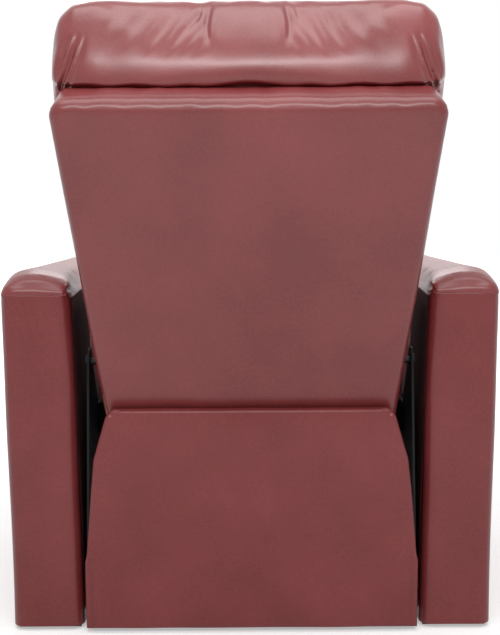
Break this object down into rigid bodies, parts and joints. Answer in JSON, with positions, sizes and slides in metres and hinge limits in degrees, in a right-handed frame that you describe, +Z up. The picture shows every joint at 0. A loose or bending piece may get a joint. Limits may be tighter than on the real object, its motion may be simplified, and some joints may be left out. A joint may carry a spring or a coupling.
{
  "type": "cinema recliner seat",
  "caption": "Powered cinema recliner seat: padded box arms, tapered upholstered backrest with headrest pillow, flared base panel, folding footrest and motor drives.",
  "frame": {"origin": "on the floor under the centre of the seat's outer box", "axes": "+Z up, -Y towards the front where the sitter faces, +X to the sitter's left"},
  "size_m": [0.84, 0.9264, 1.0804],
  "materials": {
    "upholstery": "semi-gloss wine-brown leather",
    "cushion": "semi-gloss wine-brown coated upholstery over foam",
    "timber": "plain plywood and pine",
    "mechanism_steel": "black powder coat",
    "bright_steel": "zinc plated",
    "black_plastic": "fine texture",
    "rubber": "matt",
    "black_cloth": "thin non-woven dust cloth"
  },
  "bodies": {
    "base": {"arm_cover_left": "upholstery", "arm_cover_right": "upholstery", "arm_inner_board_left": "timber", "arm_inner_board_right": "timber", "arm_outer_board_left": "timber", "arm_outer_board_right": "timber", "arm_rib_boards_left": "timber", "arm_rib_boards_right": "timber", "arm_pad_left": "cushion", "arm_pad_right": "cushion", "arm_glides": "black_plastic", "arm_bolts": "bright_steel", "arm_spacers": "bright_steel", "base_rail_left": "mechanism_steel", "base_rail_right": "mechanism_steel", "base_cross_tubes": "mechanism_steel", "dust_cloth": "black_cloth", "base_feet": "rubber", "base_rear_cover": "upholstery", "base_rear_board": "timber", "mechanism_plate_left": "mechanism_steel", "mechanism_plate_right": "mechanism_steel", "seat_cushion": "cushion", "seat_side_rails": "timber", "seat_front_rail": "timber", "seat_rear_rail": "timber", "seat_springs": "bright_steel", "actuator_cross_tube": "mechanism_steel", "actuator_housing": "black_plastic", "actuator_tube": "black_plastic", "actuator_motor": "black_plastic", "gearmotor_housing": "black_plastic", "gearmotor_can": "black_plastic", "gearmotor_bracket": "mechanism_steel", "switch_plate": "black_plastic", "control_box": "black_plastic", "recline_pins": "bright_steel", "footrest_pins": "bright_steel"},
    "backrest": {"back_cover": "upholstery", "back_rail_left": "timber", "back_rail_right": "timber", "back_top_rail": "timber", "back_bottom_rail": "timber", "back_bracket_left": "mechanism_steel", "back_bracket_right": "mechanism_steel", "back_springs": "bright_steel", "lumbar_cushion": "cushion", "back_cushion": "cushion", "headrest_pillow": "cushion", "recline_lever": "mechanism_steel"},
    "footrest": {"footrest_pad": "cushion", "footrest_board": "timber", "footrest_bracket_left": "mechanism_steel", "footrest_bracket_right": "mechanism_steel"},
    "drive": {"drive_tube": "mechanism_steel", "drive_cranks": "mechanism_steel"},
    "links": {"drive_links": "mechanism_steel"},
    "actuator_rod": {"actuator_rod": "bright_steel"},
    "button_open": {"button_open": "black_plastic"},
    "button_close": {"button_close": "black_plastic"}
  },
  "joints": [
    {"name": "back_recline", "type": "hinge", "parent": "base", "child": "backrest", "pos_m": [0, 0.231, 0.463], "axis": [-1, 0, 0], "range_deg": [0, 40]},
    {"name": "footrest_lift", "type": "hinge", "parent": "base", "child": "footrest", "pos_m": [0, -0.413, 0.372], "axis": [-1, 0, 0], "range_deg": [0, 88]},
    {"name": "drive_turn", "type": "hinge", "parent": "base", "child": "drive", "pos_m": [0, -0.262, 0.262], "axis": [-1, 0, 0], "range_deg": [-1, 89]},
    {"name": "link_turn", "type": "hinge", "parent": "drive", "child": "links", "pos_m": [0, -0.25372, 0.20257], "axis": [-1, 0, 0], "range_deg": [-89, 1]},
    {"name": "rod_travel", "type": "slide", "parent": "base", "child": "actuator_rod", "axis": [0, -1, 0], "range_m": [-0.001, 0.10886]},
    {"name": "open_button", "type": "slide", "parent": "base", "child": "button_open", "axis": [-1, 0, 0], "range_m": [0, 0.002], "stiffness_N_per_m": 600},
    {"name": "close_button", "type": "slide", "parent": "base", "child": "button_close", "axis": [-1, 0, 0], "range_m": [0, 0.002], "stiffness_N_per_m": 600}
  ],
  "couplings": [
    {"joint": "drive_turn", "follows": "footrest_lift", "ratio": 1},
    {"joint": "link_turn", "follows": "footrest_lift", "ratio": -1},
    {"joint": "rod_travel", "follows": "back_recline", "m_per_rad": 0.1545}
  ]
}
